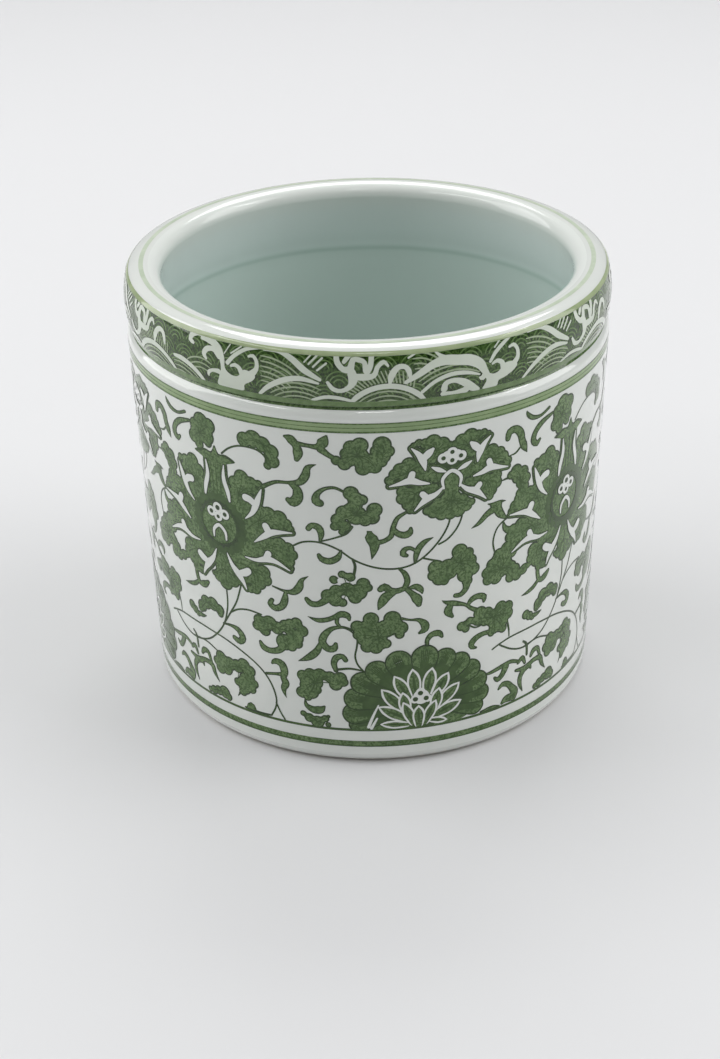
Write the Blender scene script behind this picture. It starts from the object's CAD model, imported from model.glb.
"""Looks of the porcelain brush pot: glazed clay, a printed lotus scroll, a wave border and painted bands.

The printed decoration is drawn on the unrolled wall. A drawn point is (u, v) in millimetres: u runs round the
pot at SCROLL_RADIUS, 0 at the front (-Y) and growing towards +X, and v is the height above the foot.
"""

import math

import bpy
import numpy as np
from mathutils import Matrix, Vector
from mathutils.geometry import delaunay_2d_cdt


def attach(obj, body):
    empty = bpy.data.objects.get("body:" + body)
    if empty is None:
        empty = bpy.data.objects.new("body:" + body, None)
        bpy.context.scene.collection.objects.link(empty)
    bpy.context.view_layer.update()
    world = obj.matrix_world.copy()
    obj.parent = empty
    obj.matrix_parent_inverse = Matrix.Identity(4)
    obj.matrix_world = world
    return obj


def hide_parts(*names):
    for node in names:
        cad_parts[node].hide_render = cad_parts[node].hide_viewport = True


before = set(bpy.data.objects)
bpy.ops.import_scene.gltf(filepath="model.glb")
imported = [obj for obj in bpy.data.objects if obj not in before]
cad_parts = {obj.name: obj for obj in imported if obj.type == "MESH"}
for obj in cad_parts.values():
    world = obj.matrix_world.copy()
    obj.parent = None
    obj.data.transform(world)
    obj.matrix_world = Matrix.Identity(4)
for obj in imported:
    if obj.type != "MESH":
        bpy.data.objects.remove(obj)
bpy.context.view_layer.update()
MM = 0.001

# ---- the clay's driving dimensions, in millimetres; a point is (radius, height) ----
HEIGHT = 122.0  # resting plane to the crest of the mouth
MOUTH_RADIUS = 65.0  # widest point of the collar
COLLAR_RADII = (23.3, 2.6, 8.0, 3.2)  # the collar's arcs: belly, outer edge, crest, inner edge
COLLAR_ANGLES = (-17.0, 15.0, 70.0, 110.0, 193.0)  # where each of them starts, and where the last one ends
HEEL = (62.35, 5.0)  # low end of the straight wall
SHOULDER = (64.9, 103.3)  # high end of the straight wall
ROLL_RADIUS = 3.2  # rounded top of the wall, below the groove
ROLL_ANGLES = (2.0, 53.5)
GROOVE = (63.1, 106.5)  # bottom of the groove between the wall and the collar
GROOVE_LOW = (63.25, 106.3)
GROOVE_HIGH = (63.45, 106.62)
CREASE_Z = 102.4  # inside, where the thick collar ends and the wall becomes straight
BORE_LOW = 56.75  # inside radius of the wall at the foot's top
FLOOR_TOP = 9.0
FLOOR_MIDDLE = 6.0  # radius of the first ring of the floor's mesh
COVE = 5.0  # rounded corner between the wall's inside and the floor
FOOT_TOP = 3.5
FOOT_EDGE = [(61.95, 2.6), (61.45, 1.7), (60.7, 0.9), (59.6, 0.0)]
FOOT_INSIDE = [(54.4, 0.0), (53.0, 0.9), (53.0, FOOT_TOP)]
FOOT_BARE = 60.9  # outside this radius the foot ring is glazed like the wall
INSIDE_MARGIN = 1.5  # how far outside the crease the inside's glaze reaches
OVAL, THREE_LOBED = 0.10, 0.05  # unevenness of the turned and fired clay

# ---- painted lines: heights on the wall, or angles in degrees on one of the collar's arcs ----
UPPER_BAND = (100.2, 102.9)
UPPER_BAND_LINES = (("low_edge", 100.2, 0.5), ("middle_line", 101.55, 0.18), ("high_edge", 102.55, 0.35))
LOWER_BAND = (6.0, 7.9)
LOWER_BAND_EDGE = (6.0, 6.4)
SCROLL_LINE = (11.1, 11.9)
LIP_LINE_ANGLES = (84.6, 93.2)
EDGE_LINE_ANGLES = (24.0, 50.0)
COLLAR_LINE_ANGLES = (-17.0, -13.0)
GROOVE_LINE_START = 50.0  # angle on the wall's rounded top
GROOVE_LINE = [(63.32, 106.25, 45.0), (63.15, 106.5, 0.0), (63.45, 106.62, -45.0)]

SCROLL_RADIUS = 65.0  # radius at which u is measured
SEGMENTS = 360  # steps of a mesh round the pot
PRINT_STEP = 0.03  # how far each printed layer stands above the one below


def polar(arc, angle):
    """The point at an angle in degrees on an arc, which is (centre radius, centre height, radius)."""
    a = math.radians(angle)
    return (arc[0] + arc[2] * math.cos(a), arc[1] + arc[2] * math.sin(a))


def arc_points(arc, first, last, step=4.0):
    count = max(2, round(abs(last - first) / step))
    return [polar(arc, first + (last - first) * i / count) for i in range(count + 1)]


def straight(a, b, step=2.0):
    count = max(1, round(math.dist(a, b) / step))
    return [(a[0] + (b[0] - a[0]) * i / count, a[1] + (b[1] - a[1]) * i / count) for i in range(count + 1)]


def collar_arcs():
    """The collar's arcs, each tangent to the one before, placed so that the crest reaches HEIGHT."""
    arcs = [(MOUTH_RADIUS - COLLAR_RADII[0], 0.0, COLLAR_RADII[0])]
    for angle, radius in zip(COLLAR_ANGLES[1:], COLLAR_RADII[1:]):
        centre, z, last = arcs[-1]
        arcs.append(polar((centre, z, last - radius), angle) + (radius,))
    lift = HEIGHT - (arcs[2][1] + arcs[2][2])
    return [(centre, z + lift, radius) for centre, z, radius in arcs]


BELLY, EDGE, CREST, INNER = collar_arcs()
WALL_SLOPE = math.degrees(math.atan2(SHOULDER[0] - HEEL[0], SHOULDER[1] - HEEL[1]))
ROLL = polar(SHOULDER + (-ROLL_RADIUS,), -WALL_SLOPE) + (ROLL_RADIUS,)


def wall_radius(z):
    """Outside radius of the straight wall at a height."""
    return HEEL[0] + (z - HEEL[1]) * (SHOULDER[0] - HEEL[0]) / (SHOULDER[1] - HEEL[1])


def collar_radius(z):
    """Outside radius of the collar's printed face at a height."""
    if z <= polar(BELLY, COLLAR_ANGLES[1])[1]:
        return BELLY[0] + math.sqrt(BELLY[2] ** 2 - (z - BELLY[1]) ** 2)
    return EDGE[0] + math.sqrt(max(0.0, EDGE[2] ** 2 - (z - EDGE[1]) ** 2))


def collar_inside(z):
    """Inside radius of the collar at a height, below its inner edge."""
    top = polar(INNER, COLLAR_ANGLES[4])
    return top[0] + (top[1] - z) * math.tan(math.radians(COLLAR_ANGLES[4] - 180.0))


def bore_radius(z):
    """Inside radius of the straight wall at a height."""
    return BORE_LOW + (CREASE[0] - BORE_LOW) * (z - FOOT_TOP) / (CREASE[1] - FOOT_TOP)


CREASE = (collar_inside(CREASE_Z), CREASE_Z)
SEAM_INNER = (collar_inside(GROOVE[1]), GROOVE[1])
COVE_ARC = (bore_radius(FLOOR_TOP + COVE) - COVE, FLOOR_TOP + COVE, COVE)


def wobble(angle, z):
    """Slight unevenness of the clay, in millimetres."""
    return OVAL * math.sin(2 * angle + 0.7) + THREE_LOBED * math.sin(3 * angle + z / 35.0)


def place(angle, radius, z):
    """A point of the pot; the angle is 0 at the front and grows towards +X."""
    r = (radius + wobble(angle, z)) * MM
    return (r * math.sin(angle), -r * math.cos(angle), z * MM)


def add_object(name, verts, faces, sharp=()):
    mesh = bpy.data.meshes.new(name)
    mesh.from_pydata(verts, [], faces)
    mesh.shade_smooth()
    if sharp:
        edges = {tuple(sorted(e.vertices)): e.index for e in mesh.edges}
        layer = mesh.attributes.new("sharp_edge", "BOOLEAN", "EDGE")
        for pair in sharp:
            layer.data[edges[tuple(sorted(pair))]].value = True
    mesh.update()
    obj = bpy.data.objects.new(name, mesh)
    bpy.context.scene.collection.objects.link(obj)
    return obj


def revolve(name, outline, corner=30.0):
    """A closed outline turned once round Z, with sharp edges where it turns by more than the corner angle."""
    verts, rings, faces, sharp = [], [], [], []
    for radius, z in outline:
        if radius == 0.0:
            rings.append([len(verts)] * SEGMENTS)
            verts.append((0.0, 0.0, z * MM))
            continue
        first = len(verts)
        rings.append(list(range(first, first + SEGMENTS)))
        verts += [place(2 * math.pi * i / SEGMENTS, radius, z) for i in range(SEGMENTS)]
    count = len(outline)
    for k in range(count):
        low, high = rings[k], rings[(k + 1) % count]
        if low[0] == low[1] and high[0] == high[1]:
            continue
        for i in range(SEGMENTS):
            j = (i + 1) % SEGMENTS
            quad = [low[i], low[j], high[j], high[i]]
            faces.append([v for n, v in enumerate(quad) if v not in quad[:n]])
        before, here, after = outline[k - 1], outline[k], outline[(k + 1) % count]
        first_turn = math.atan2(here[1] - before[1], here[0] - before[0])
        next_turn = math.atan2(after[1] - here[1], after[0] - here[0])
        turn = math.degrees(abs(math.remainder(next_turn - first_turn, 2 * math.pi)))
        if turn > corner and low[0] != low[1]:
            sharp += [(low[i], low[(i + 1) % SEGMENTS]) for i in range(SEGMENTS)]
    return add_object(name, verts, faces, sharp)


# ---- materials ----
def srgb(r, g, b):
    """A colour given in eight-bit screen values."""
    def linear(c):
        c /= 255.0
        return c / 12.92 if c <= 0.04045 else ((c + 0.055) / 1.055) ** 2.4
    return (linear(r), linear(g), linear(b), 1.0)


def new_material(name):
    mat = bpy.data.materials.new(name)
    mat.use_nodes = True
    return mat, mat.node_tree, mat.node_tree.nodes["Principled BSDF"]


def set_inputs(target, values):
    for name, value in values.items():
        target.inputs[name].default_value = value


def node(tree, kind, inputs=None, **settings):
    """A new shader node with values on its inputs, by name, and its own settings."""
    made = tree.nodes.new(kind)
    set_inputs(made, inputs or {})
    for key, value in settings.items():
        setattr(made, key, value)
    return made


def noise(tree, coords, scale, detail, roughness=0.5):
    """The value of a noise in the object's own space, with this many bumps to the metre."""
    texture = node(tree, "ShaderNodeTexNoise", {"Scale": scale, "Detail": detail, "Roughness": roughness})
    tree.links.new(coords.outputs["Object"], texture.inputs["Vector"])
    return texture.outputs["Fac"]


def ranged(tree, value, start, end, kind="LINEAR"):
    """A value that runs from one pair to the other, each (value in, value out), and stays between them."""
    ends = {"From Min": start[0], "To Min": start[1], "From Max": end[0], "To Max": end[1]}
    ramp = node(tree, "ShaderNodeMapRange", ends, interpolation_type=kind)
    tree.links.new(value, ramp.inputs["Value"])
    return ramp.outputs["Result"]


def colour_ramp(tree, value, stops):
    """The colour for a value, through (place between 0 and 1, colour) stops."""
    ramp = node(tree, "ShaderNodeValToRGB")
    steps = ramp.color_ramp.elements
    for step, (at, colour) in zip(steps, (stops[0], stops[-1])):
        step.position = at
        step.color = colour
    for at, colour in stops[1:-1]:
        steps.new(at).color = colour
    tree.links.new(value, ramp.inputs["Fac"])
    return ramp.outputs["Color"]


def add_gloss(tree, coords, shader, roughness=0.10, coat=0.25, specular=0.5):
    """Glaze gloss that varies a little, with a faint ripple of the surface."""
    uneven = ranged(tree, noise(tree, coords, 55.0, 3.0), (0.0, 0.7 * roughness), (1.0, 1.5 * roughness))
    tree.links.new(uneven, shader.inputs["Roughness"])
    relief = node(tree, "ShaderNodeBump", {"Strength": 0.10, "Distance": 0.4 * MM})
    tree.links.new(noise(tree, coords, 160.0, 2.0), relief.inputs["Height"])
    tree.links.new(relief.outputs["Normal"], shader.inputs["Normal"])
    set_inputs(shader, {"IOR": 1.5, "Specular IOR Level": specular,
                        "Coat Weight": coat, "Coat Roughness": 0.03})


def glaze_material(name, dark, light, scale, speckle=None, **gloss):
    """A glossy glazed surface whose colour drifts between two tones, with fine specks where it is printed."""
    mat, tree, shader = new_material(name)
    coords = node(tree, "ShaderNodeTexCoord")
    colour = colour_ramp(tree, noise(tree, coords, scale, 5.0, 0.6), [(0.36, dark), (0.66, light)])
    if speckle:
        share = ranged(tree, noise(tree, coords, 1500.0, 2.0, 0.7), (0.44, 0.0), (0.60, 1.0))
        blend = node(tree, "ShaderNodeMix", data_type="RGBA")
        tree.links.new(share, blend.inputs[0])
        tree.links.new(colour, blend.inputs[6])
        blend.inputs[7].default_value = speckle
        colour = blend.outputs[2]
    tree.links.new(colour, shader.inputs["Base Color"])
    add_gloss(tree, coords, shader, **gloss)
    return mat


def inside_material(name, stops):
    """Celadon glaze inside the pot, whose colour changes with height through (height in mm, colour) stops."""
    mat, tree, shader = new_material(name)
    coords = node(tree, "ShaderNodeTexCoord")
    parts = node(tree, "ShaderNodeSeparateXYZ")
    tree.links.new(coords.outputs["Object"], parts.inputs["Vector"])
    height = node(tree, "ShaderNodeMath", {1: 0.8 * MM}, operation="MULTIPLY_ADD")
    tree.links.new(noise(tree, coords, 30.0, 3.0), height.inputs[0])
    tree.links.new(parts.outputs["Z"], height.inputs[2])
    low, high = stops[0][0], stops[-1][0]
    level = ranged(tree, height.outputs["Value"], (low * MM, 0.0), (high * MM, 1.0))
    colour = colour_ramp(tree, level, [((z - low) / (high - low), tone) for z, tone in stops])
    tree.links.new(colour, shader.inputs["Base Color"])
    add_gloss(tree, coords, shader)
    return mat


WHITE_TONE = srgb(221, 225, 220)
CLEAR = {"coat": 0.7, "roughness": 0.05}
PRINTED = {"coat": 0.7, "specular": 0.2}
MATT = {"coat": 0.0, "roughness": 0.6}
WHITE = glaze_material("white_glaze", srgb(216, 220, 215), srgb(225, 228, 223), 14.0, **CLEAR)
INSIDE = inside_material("inside_glaze", [
    (9.0, srgb(194, 209, 203)),
    (60.0, srgb(197, 211, 205)),
    (100.8, srgb(198, 213, 207)),
    (101.6, srgb(178, 198, 190)),
    (102.9, srgb(210, 223, 219)),
    (108.0, srgb(217, 228, 225)),
    (114.0, srgb(219, 228, 225)),
    (119.5, WHITE_TONE),
])
INK = glaze_material("ink_green", srgb(28, 53, 10), srgb(46, 74, 24), 260.0, **PRINTED)
GROUND = glaze_material("wave_ground_green", srgb(16, 38, 6), srgb(42, 70, 20), 420.0, srgb(70, 98, 45),
                        **PRINTED)
RIPPLE = glaze_material("ripple_green", srgb(85, 114, 60), srgb(112, 138, 89), 400.0, **PRINTED)
PALE = glaze_material("pale_green", srgb(146, 163, 129), srgb(166, 181, 150), 300.0, **PRINTED)
FOAM = glaze_material("foam_white", srgb(202, 211, 196), srgb(212, 219, 206), 60.0, **PRINTED)
LEAF = glaze_material("leaf_green", srgb(80, 109, 58), srgb(108, 134, 85), 300.0, srgb(52, 81, 30), **PRINTED)
VEIN = glaze_material("vein_green", srgb(44, 72, 22), srgb(61, 90, 37), 300.0, **PRINTED)
BAND = glaze_material("band_green", srgb(130, 154, 106), srgb(146, 168, 122), 120.0, **PRINTED)
OLIVE = glaze_material("olive_line", srgb(146, 162, 120), srgb(164, 178, 138), 160.0)
LIP_LINE = glaze_material("lip_line", srgb(184, 197, 174), srgb(200, 210, 190), 160.0)
BARE = glaze_material("bare_foot", srgb(196, 190, 176), srgb(212, 207, 196), 60.0, **MATT)


# ---- clay ----
def wall_outline():
    wall_foot = (wall_radius(FOOT_TOP), FOOT_TOP)
    points = straight((COVE_ARC[0], FLOOR_TOP), (COVE_ARC[0], FOOT_TOP), 6)
    points += straight((COVE_ARC[0], FOOT_TOP), wall_foot, 6)[1:]
    points += straight(wall_foot, SHOULDER, 3)[1:]
    points += arc_points(ROLL, *ROLL_ANGLES)
    points += [GROOVE_LOW, GROOVE, SEAM_INNER]
    points += straight(SEAM_INNER, CREASE, 2)[1:]
    points += straight(CREASE, polar(COVE_ARC, 0), 4)[1:]
    points += arc_points(COVE_ARC, 0, -90, 10)[1:-1]
    return points


def collar_outline():
    points = [GROOVE, GROOVE_HIGH]
    for number, (arc, step) in enumerate(((BELLY, 2), (EDGE, 5), (CREST, 4), (INNER, 6))):
        points += arc_points(arc, COLLAR_ANGLES[number], COLLAR_ANGLES[number + 1], step)[min(number, 1):]
    points += straight(points[-1], SEAM_INNER, 2)[1:]
    return points


def foot_outline():
    return [(wall_radius(FOOT_TOP), FOOT_TOP)] + FOOT_EDGE + FOOT_INSIDE


def floor_outline():
    top = [(0.0, FLOOR_TOP)] + straight((FLOOR_MIDDLE, FLOOR_TOP), (COVE_ARC[0], FLOOR_TOP), 6)
    low = straight((COVE_ARC[0], FOOT_TOP), (FLOOR_MIDDLE, FOOT_TOP), 6) + [(0.0, FOOT_TOP)]
    return top + low


def ring_strip(name, profile, lift=PRINT_STEP):
    """A painted line round the pot, through (radius, height, normal angle) points, lifted off the clay."""
    verts, faces = [], []
    for radius, z, angle in profile:
        a = math.radians(angle)
        for i in range(SEGMENTS):
            turn = 2 * math.pi * i / SEGMENTS
            verts.append(place(turn, radius + lift * math.cos(a), z + lift * math.sin(a)))
    for k in range(len(profile) - 1):
        for i in range(SEGMENTS):
            j = (i + 1) % SEGMENTS
            a, b = k * SEGMENTS, (k + 1) * SEGMENTS
            faces.append((a + i, a + j, b + j, b + i))
    return add_object(name, verts, faces)


def wall_strip(name, low, high, layer=1):
    heights = (low, (low + high) / 2, high)
    return ring_strip(name, [(wall_radius(z), z, 0.0) for z in heights], layer * PRINT_STEP)


def arc_strip(name, arc, first, last):
    count = max(2, round((last - first) / 4))
    steps = [first + (last - first) * i / count for i in range(count + 1)]
    return ring_strip(name, [polar(arc, s) + (s,) for s in steps])


def finish_piece(obj, material, nodes=()):
    obj.data.materials.append(material)
    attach(obj, "root")
    if nodes:
        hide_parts(*nodes)
    return obj


def paint_faces(obj, material, chosen):
    """Give a second material to the faces whose distance from the axis, in millimetres, is chosen."""
    obj.data.materials.append(material)
    for face in obj.data.polygons:
        if chosen(math.hypot(face.center.x, face.center.y) / MM):
            face.material_index = 1


def build_clay():
    wall = finish_piece(revolve("glazed_wall", wall_outline()), WHITE, ["pot_wall"])
    paint_faces(wall, INSIDE, lambda radius: radius < CREASE[0] + INSIDE_MARGIN)
    collar = finish_piece(revolve("glazed_collar", collar_outline()), WHITE, ["rim_collar"])
    paint_faces(collar, INSIDE, lambda radius: radius < INNER[0])
    finish_piece(revolve("glazed_floor", floor_outline()), INSIDE, ["floor_disc"])
    foot = finish_piece(revolve("foot_ring_clay", foot_outline()), BARE, ["foot_ring"])
    paint_faces(foot, WHITE, lambda radius: radius > FOOT_BARE)


def build_bands():
    """The painted lines and bands. A line over a band lies one layer higher."""
    for name, arc, angles, material, cad_node in (
            ("lip_line", CREST, LIP_LINE_ANGLES, LIP_LINE, "rim_line"),
            ("olive_edge_line", EDGE, EDGE_LINE_ANGLES, OLIVE, "collar_edge_line"),
            ("collar_lower_line", BELLY, COLLAR_LINE_ANGLES, RIPPLE, "collar_foot_line")):
        finish_piece(arc_strip(name, arc, *angles), material, [cad_node])
    groove = [polar(ROLL, GROOVE_LINE_START) + (GROOVE_LINE_START,)] + GROOVE_LINE
    finish_piece(ring_strip("groove_line", groove), LEAF)
    finish_piece(wall_strip("upper_band", *UPPER_BAND), BAND, ["shoulder_band"])
    for name, z, width in UPPER_BAND_LINES:
        finish_piece(wall_strip("upper_band_" + name, z, z + width, 2), LEAF)
    finish_piece(wall_strip("scroll_line", *SCROLL_LINE), VEIN, ["scroll_base_line"])
    finish_piece(wall_strip("lower_band", *LOWER_BAND), LEAF, ["foot_band"])
    finish_piece(wall_strip("lower_band_edge", *LOWER_BAND_EDGE, 2), VEIN)


# ---- drawing on the unrolled wall ----
REPEATS = 4
PERIOD = 2 * math.pi * SCROLL_RADIUS / REPEATS  # width of one repeat of the lotus scroll
WAVE_REPEATS = 3
WAVE_PERIOD = 2 * math.pi * SCROLL_RADIUS / WAVE_REPEATS
OUTLINE = 0.42  # width of the darker edge of leaves and thick curls
VINE = 0.55  # width of a plain stem
SCROLL_SPAN = (11.7, 100.4)
WAVE_SPAN = (108.5, 120.1)
SCROLL_SPACING = 2.5  # size of the print's triangles
WAVE_SPACING = 1.2  # fine enough to follow the collar's belly
CURVE_STEP = 0.55
CIRCLE_STEP = 0.5
ARC_LINE_STEP = 12  # degrees
SMALLEST_DISC = 0.1  # what would be smaller is left out
THINNEST_LINE = 0.12
MERGE_DISTANCE = 1e-4
NORMAL_STEP = 0.05  # distance over which the pot's slope is measured
NECK_REACH = 0.95  # lobes this close, as a share of both radii, are joined
NECK_WIDTH = 1.55  # width of the neck between them, as a share of the radius
VEIN_REACH = 6
VEIN_BEND = 0.2
VEIN_WIDTHS = (0.26, 0.24, 0.16)
SWOOSH_EDGE = 0.3  # width of the dark line round a white stroke
SWOOSH_RIM = 0.95  # width of the green round a white stroke


def curve_points(before, start, end, after):
    """Points of a smooth curve from start towards end. A third value, a width, changes smoothly as well."""
    count = max(2, round(math.dist(start[:2], end[:2]) / CURVE_STEP))
    curve = []
    for i in range(count):
        t = i / count
        point = []
        for a, b, c, d in zip(before, start, end, after):
            point.append(0.5 * (2 * b + (c - a) * t + (2 * a - 5 * b + 4 * c - d) * t ** 2
                                + (3 * b - a - 3 * c + d) * t ** 3))
        curve.append(tuple(point))
    return curve


def smooth_path(points):
    """A smooth open curve through the points."""
    last = len(points) - 1
    path = []
    for k in range(last):
        path += curve_points(points[max(k - 1, 0)], points[k], points[k + 1], points[min(k + 2, last)])
    return path + [tuple(points[-1])]


def closed_path(points):
    """A smooth closed curve through the points."""
    count = len(points)
    path = []
    for k in range(count):
        path += curve_points(points[k - 1], points[k], points[(k + 1) % count], points[(k + 2) % count])
    return path


def petal_outline(base, tip, profile):
    """A closed outline about the line from base to tip, through (distance along it, half width) points."""
    length = math.dist(base, tip)
    along = ((tip[0] - base[0]) / length, (tip[1] - base[1]) / length)
    sides = ([], [])
    for distance, half in profile:
        u, v = base[0] + along[0] * distance, base[1] + along[1] * distance
        sides[0].append((u + along[1] * half, v - along[0] * half))
        sides[1].append((u - along[1] * half, v + along[0] * half))
    return sides[0] + sides[1][::-1]


def circle(u, v, radius):
    count = max(10, round(2 * math.pi * radius / CIRCLE_STEP))
    turn = 2 * math.pi / count
    return [(u + radius * math.cos(turn * i), v + radius * math.sin(turn * i)) for i in range(count)]


def arc_line(centre, radius, first, last, width, taper=0.6):
    """Points of a round line from one angle to another, thinner at its ends."""
    count = max(3, round(abs(last - first) / ARC_LINE_STEP))
    line = []
    for i in range(count + 1):
        a = math.radians(first + (last - first) * i / count)
        ends = taper if i in (0, count) else 1.0
        line.append((centre[0] + radius * math.cos(a), centre[1] + radius * math.sin(a), width * ends))
    return line


def stroke_outline(path):
    """The closed outline of a line whose width changes along it."""
    left, right = [], []
    for i, (u, v, width) in enumerate(path):
        before, after = path[max(i - 1, 0)], path[min(i + 1, len(path) - 1)]
        heading = math.atan2(after[1] - before[1], after[0] - before[0])
        across = (-math.sin(heading) * width / 2, math.cos(heading) * width / 2)
        left.append((u + across[0], v + across[1]))
        right.append((u - across[0], v - across[1]))
    return left + right[::-1]


def inside(outline, points):
    """Which of the points lie inside a closed outline."""
    ring = np.array(outline)
    odd = np.zeros(len(points), bool)
    for (u0, v0), (u1, v1) in zip(ring, np.roll(ring, -1, axis=0)):
        crosses = (points[:, 1] < v0) != (points[:, 1] < v1)
        slope = (u1 - u0) / (v1 - v0) if v1 != v0 else 0.0
        odd ^= crosses & (points[:, 0] < u0 + (points[:, 1] - v0) * slope)
    return odd


class Layer:
    """One colour of a print: discs, lines of changing width and areas, then what is painted over them."""

    def __init__(self):
        self.discs, self.paths, self.areas, self.overlays = [], [], [], []

    def disc(self, u, v, radius):
        if radius > SMALLEST_DISC:
            self.discs.append((u, v, radius))

    def stroke(self, points, inset=0.0):
        path = [(u, v, width - 2 * inset) for u, v, width in smooth_path(points)]
        path = [p for p in path if p[2] > THINNEST_LINE]
        if len(path) > 1:
            self.paths.append(path)

    def area(self, outline):
        self.areas.append(closed_path(outline))

    def paint(self, outline, shown):
        """Fill or clear the inside of an outline, over all that was drawn before it."""
        self.overlays.append((closed_path(outline), shown))

    def outlines(self):
        chains = [circle(*d) for d in self.discs] + self.areas
        chains += [outline for outline, _ in self.overlays]
        for path in self.paths:
            chains.append(stroke_outline(path))
            for u, v, width in (path[0], path[-1]):
                chains.append(circle(u, v, width / 2))
        return chains

    def covers(self, points):
        """Which of the points lie on the print."""
        hit = np.zeros(len(points), bool)
        for u, v, radius in self.discs:
            hit |= np.hypot(points[:, 0] - u, points[:, 1] - v) < radius
        for path in self.paths:
            line = np.array(path)
            reach = line[:, 2].max()
            low, high = line[:, :2].min(0) - reach, line[:, :2].max(0) + reach
            near = np.flatnonzero(((points > low) & (points < high)).all(1) & ~hit)
            for a, b in zip(line[:-1], line[1:]):
                along = b[:2] - a[:2]
                offset = points[near] - a[:2]
                t = np.clip(offset @ along / max(along @ along, 1e-9), 0, 1)
                gap = np.linalg.norm(offset - t[:, None] * along, axis=1)
                hit[near] |= gap < (a[2] + (b[2] - a[2]) * t) / 2
        for outline in self.areas:
            hit |= inside(outline, points)
        for outline, shown in self.overlays:
            hit[inside(outline, points)] = shown
        return hit

    def triangles(self, span, spacing):
        """The print cut into triangles no longer than about the spacing, kept between two heights."""
        corners, edges = [], []
        for chain in self.outlines():
            first, count = len(corners), len(chain)
            corners += [Vector((u, min(max(v, span[0]), span[1]))) for u, v in chain]
            edges += [(first + i, first + (i + 1) % count) for i in range(count)]
        if not corners:
            return [], []
        us = [c.x for c in corners]
        u = min(us)
        while u < max(us):
            v = span[0] + spacing / 2
            while v < span[1]:
                corners.append(Vector((u, v)))
                v += spacing
            u += spacing
        verts, _, faces, *_ = delaunay_2d_cdt(corners, edges, [], 0, MERGE_DISTANCE)
        flat = np.array([tuple(v) for v in verts])
        tris = np.array(faces)
        keep = tris[self.covers(flat[tris].mean(axis=1))]
        used, index = np.unique(keep, return_inverse=True)
        return flat[used], index.reshape(-1, 3)


def lay_on_pot(name, layer, span, radius_at, shift, lift, spacing):
    """The layer as a sheet that follows the pot, moved round it by a shift."""
    flat, tris = layer.triangles(span, spacing)

    def point(u, v):
        return Vector(place((u + shift) / SCROLL_RADIUS, radius_at(v), v))

    verts, normals = [], []
    for u, v in flat:
        along = point(u + NORMAL_STEP, v) - point(u - NORMAL_STEP, v)
        rise = point(u, v + NORMAL_STEP) - point(u, v - NORMAL_STEP)
        normal = along.cross(rise).normalized()
        verts.append(point(u, v) + normal * lift * MM)
        normals.append(normal)
    obj = add_object(name, verts, [tuple(int(i) for i in t) for t in tris])
    obj.data.normals_split_custom_set_from_vertices(normals)
    return obj


class Print:
    """The layers of one repeat, from the clay outwards."""

    def __init__(self):
        self.ink, self.leaf, self.vein, self.edge, self.reserve, self.detail = (Layer() for _ in range(6))

    def leafy(self, lobes, veins=True):
        """A lobed leaf or petal: round lobes joined to their neighbours, with a darker outline and veins."""
        for u, v, radius in lobes:
            self.ink.disc(u, v, radius)
            self.leaf.disc(u, v, radius - OUTLINE)
        for k, one in enumerate(lobes):
            for other in lobes[k + 1:]:
                if math.dist(one[:2], other[:2]) < NECK_REACH * (one[2] + other[2]):
                    neck = [(u, v, NECK_WIDTH * radius) for u, v, radius in (one, other)]
                    self.ink.stroke(neck)
                    self.leaf.stroke(neck, OUTLINE)
        if not veins or len(lobes) < 3:
            return
        weight = sum(r * r for _, _, r in lobes)
        middle = [sum(lobe[k] * lobe[2] ** 2 for lobe in lobes) / weight for k in (0, 1)]
        middle = min(lobes, key=lambda lobe: math.dist(lobe[:2], middle))[:2]
        for u, v, radius in lobes:
            if 0 < math.dist((u, v), middle) < VEIN_REACH:
                bend = VEIN_BEND * radius
                half = ((middle[0] + u) / 2 + bend, (middle[1] + v) / 2 + bend)
                line = (middle, half, (u, v))
                self.vein.stroke([point + (width,) for point, width in zip(line, VEIN_WIDTHS)])

    def swoosh(self, points):
        """A white stroke reserved between two petals, with a dark edge and a green rim outside it."""
        self.ink.stroke(points, -SWOOSH_RIM)
        self.leaf.stroke(points, OUTLINE - SWOOSH_RIM)
        self.edge.stroke(points, -SWOOSH_EDGE)
        self.reserve.stroke(points)

    def curl(self, points):
        """A tendril or comma, solid where it is thin and with a darker edge where it is thick."""
        self.ink.stroke(points)
        self.leaf.stroke(points, OUTLINE * 0.85)

    def vine(self, points):
        self.ink.stroke([p + (VINE,) for p in points])

    def ring(self, u, v, outer, inner):
        """A small white ring with a dark edge and a dark middle."""
        self.edge.disc(u, v, outer + SWOOSH_EDGE)
        self.reserve.disc(u, v, outer)
        self.detail.disc(u, v, inner)


def mirror(shapes, centre):
    """The shapes and their mirror images about the upright line at that u."""
    return shapes + [[(2 * centre - p[0],) + tuple(p[1:]) for p in shape] for shape in shapes]


def moved(shapes, shift):
    return [[(p[0] + shift,) + tuple(p[1:]) for p in shape] for shape in shapes]


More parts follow.
